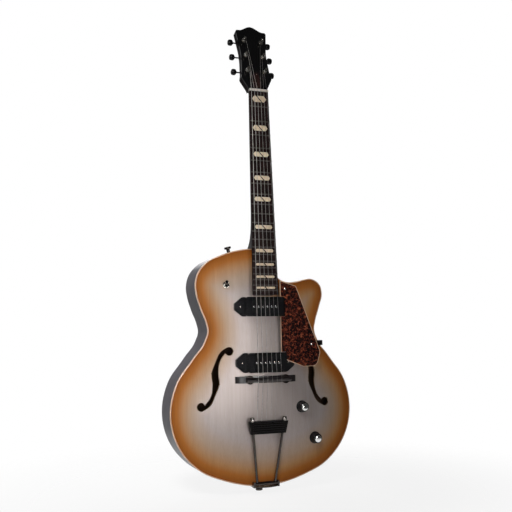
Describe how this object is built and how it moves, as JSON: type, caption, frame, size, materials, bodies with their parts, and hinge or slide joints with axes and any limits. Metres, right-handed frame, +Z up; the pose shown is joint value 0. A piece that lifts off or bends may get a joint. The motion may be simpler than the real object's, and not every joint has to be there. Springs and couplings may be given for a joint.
{
  "type": "archtop guitar",
  "caption": "Hollow archtop electric guitar with a rounded cutaway, carved f-hole top, eared pickup covers, adjustable bridge, trapeze tailpiece and open-gear tuners.",
  "frame": {"origin": "centre of the head of the end strap button", "axes": "+Z up the neck, -Y out of the front, +X to the treble side"},
  "size_m": [0.407, 0.1345, 1.0381],
  "materials": {
    "spruce_top": "gloss lacquer, pale centre to amber edge",
    "dark_maple": "dark gloss lacquer",
    "raw_wood": "bare",
    "rosewood": "oiled",
    "cream_plastic": "cream",
    "pearl": "pearl",
    "bone": "bone white",
    "black_gloss": "black gloss",
    "black_plastic": "black",
    "tortoise": "tortoise",
    "brown_plastic": "brown",
    "nickel": "polished nickel",
    "steel": "drawn wire",
    "black_metal": "black",
    "coil": "wound coil"
  },
  "bodies": {
    "root": {"back_plate": "dark_maple", "bass_rib": "dark_maple", "bridge_base": "rosewood", "bridge_pickup_coil": "coil", "bridge_pickup_cover": "black_plastic", "bridge_posts": "nickel", "control_pots": "nickel", "cutaway_rib": "dark_maple", "end_block": "raw_wood", "fingerboard": "rosewood", "frets": "nickel", "headstock_veneer": "black_gloss", "inlays": "pearl", "neck": "dark_maple", "neck_block": "raw_wood", "neck_pickup_coil": "coil", "neck_pickup_cover": "black_plastic", "nut": "bone", "output_jack": "nickel", "pickguard": "tortoise", "pickguard_bracket": "black_metal", "pickguard_edge": "cream_plastic", "pickguard_spacer": "black_plastic", "pole_screws": "nickel", "strap_buttons": "nickel", "strings": "steel", "tailpiece_bar": "black_metal", "tailpiece_hinge": "nickel", "tailpiece_pin": "nickel", "tailpiece_rods": "nickel", "toggle_switch": "nickel", "tone_bars": "raw_wood", "top_binding": "cream_plastic", "top_plate": "spruce_top", "treble_rib": "dark_maple", "truss_rod": "steel", "truss_rod_cover": "brown_plastic", "tuner_bushings": "nickel", "tuner_plates": "nickel"},
    "volume": {"volume_knob": "black_plastic", "volume_spindle": "nickel"},
    "tone": {"tone_knob": "black_plastic", "tone_spindle": "nickel"},
    "toggle": {"toggle_lever": "black_plastic"},
    "saddle": {"bridge_saddle": "rosewood"},
    "bass_wheel": {"bass_thumbwheel": "nickel"},
    "treble_wheel": {"treble_thumbwheel": "nickel"},
    "key_1": {"tuner_key_1": "black_plastic"},
    "post_1": {"tuner_post_1": "nickel"},
    "key_2": {"tuner_key_2": "black_plastic"},
    "post_2": {"tuner_post_2": "nickel"},
    "key_3": {"tuner_key_3": "black_plastic"},
    "post_3": {"tuner_post_3": "nickel"},
    "key_4": {"tuner_key_4": "black_plastic"},
    "post_4": {"tuner_post_4": "nickel"},
    "key_5": {"tuner_key_5": "black_plastic"},
    "post_5": {"tuner_post_5": "nickel"},
    "key_6": {"tuner_key_6": "black_plastic"},
    "post_6": {"tuner_post_6": "nickel"}
  },
  "joints": [
    {"name": "key_1_turn", "type": "hinge", "parent": "root", "child": "key_1", "pos_m": [-0.0205, -0.00504, 0.9197], "axis": [1, 0, 0], "continuous": true},
    {"name": "post_1_turn", "type": "hinge", "parent": "root", "child": "post_1", "pos_m": [-0.0205, -0.00715, 0.91214], "axis": [0, 0.963, -0.2694], "continuous": true},
    {"name": "key_2_turn", "type": "hinge", "parent": "root", "child": "key_2", "pos_m": [-0.0205, 0.00574, 0.95822], "axis": [1, 0, 0], "continuous": true},
    {"name": "post_2_turn", "type": "hinge", "parent": "root", "child": "post_2", "pos_m": [-0.0205, 0.00362, 0.95066], "axis": [0, 0.963, -0.2694], "continuous": true},
    {"name": "key_3_turn", "type": "hinge", "parent": "root", "child": "key_3", "pos_m": [-0.0205, 0.01652, 0.99674], "axis": [1, 0, 0], "continuous": true},
    {"name": "post_3_turn", "type": "hinge", "parent": "root", "child": "post_3", "pos_m": [-0.0205, 0.0144, 0.98918], "axis": [0, 0.963, -0.2694], "continuous": true},
    {"name": "key_4_turn", "type": "hinge", "parent": "root", "child": "key_4", "pos_m": [0.0205, -0.00504, 0.9197], "axis": [1, 0, 0], "continuous": true},
    {"name": "post_4_turn", "type": "hinge", "parent": "root", "child": "post_4", "pos_m": [0.0205, -0.00715, 0.91214], "axis": [0, 0.963, -0.2694], "continuous": true},
    {"name": "key_5_turn", "type": "hinge", "parent": "root", "child": "key_5", "pos_m": [0.0205, 0.00574, 0.95822], "axis": [1, 0, 0], "continuous": true},
    {"name": "post_5_turn", "type": "hinge", "parent": "root", "child": "post_5", "pos_m": [0.0205, 0.00362, 0.95066], "axis": [0, 0.963, -0.2694], "continuous": true},
    {"name": "key_6_turn", "type": "hinge", "parent": "root", "child": "key_6", "pos_m": [0.0205, 0.01652, 0.99674], "axis": [1, 0, 0], "continuous": true},
    {"name": "post_6_turn", "type": "hinge", "parent": "root", "child": "post_6", "pos_m": [0.0205, 0.0144, 0.98918], "axis": [0, 0.963, -0.2694], "continuous": true},
    {"name": "volume_turn", "type": "hinge", "parent": "root", "child": "volume", "pos_m": [0.082, -0.05035, 0.175], "axis": [0.0929, -0.9954, -0.0252], "range_deg": [-150, 150]},
    {"name": "tone_turn", "type": "hinge", "parent": "root", "child": "tone", "pos_m": [0.114, -0.04368, 0.107], "axis": [0.0812, -0.9937, -0.0776], "range_deg": [-150, 150]},
    {"name": "toggle_throw", "type": "hinge", "parent": "root", "child": "toggle", "pos_m": [-0.08142, -0.03944, 0.43593], "axis": [-0.8191, 0.0146, -0.5735], "range_deg": [-28, 0]},
    {"name": "saddle_height", "type": "slide", "parent": "root", "child": "saddle", "axis": [0, 1, 0], "range_m": [0, 0.0021]},
    {"name": "bass_wheel_turn", "type": "hinge", "parent": "saddle", "child": "bass_wheel", "pos_m": [-0.04, -0.06397, 0.236], "axis": [0, 1, 0], "range_deg": [0, 1080]},
    {"name": "treble_wheel_turn", "type": "hinge", "parent": "saddle", "child": "treble_wheel", "pos_m": [0.04, -0.06397, 0.236], "axis": [0, 1, 0], "range_deg": [0, 1080]}
  ],
  "couplings": [
    {"joint": "post_1_turn", "follows": "key_1_turn", "ratio": 0.071429},
    {"joint": "post_2_turn", "follows": "key_2_turn", "ratio": 0.071429},
    {"joint": "post_3_turn", "follows": "key_3_turn", "ratio": 0.071429},
    {"joint": "post_4_turn", "follows": "key_4_turn", "ratio": -0.071429},
    {"joint": "post_5_turn", "follows": "key_5_turn", "ratio": -0.071429},
    {"joint": "post_6_turn", "follows": "key_6_turn", "ratio": -0.071429},
    {"joint": "treble_wheel_turn", "follows": "bass_wheel_turn", "ratio": 1},
    {"joint": "saddle_height", "follows": "bass_wheel_turn", "m_per_rad": 0.00011141}
  ]
}
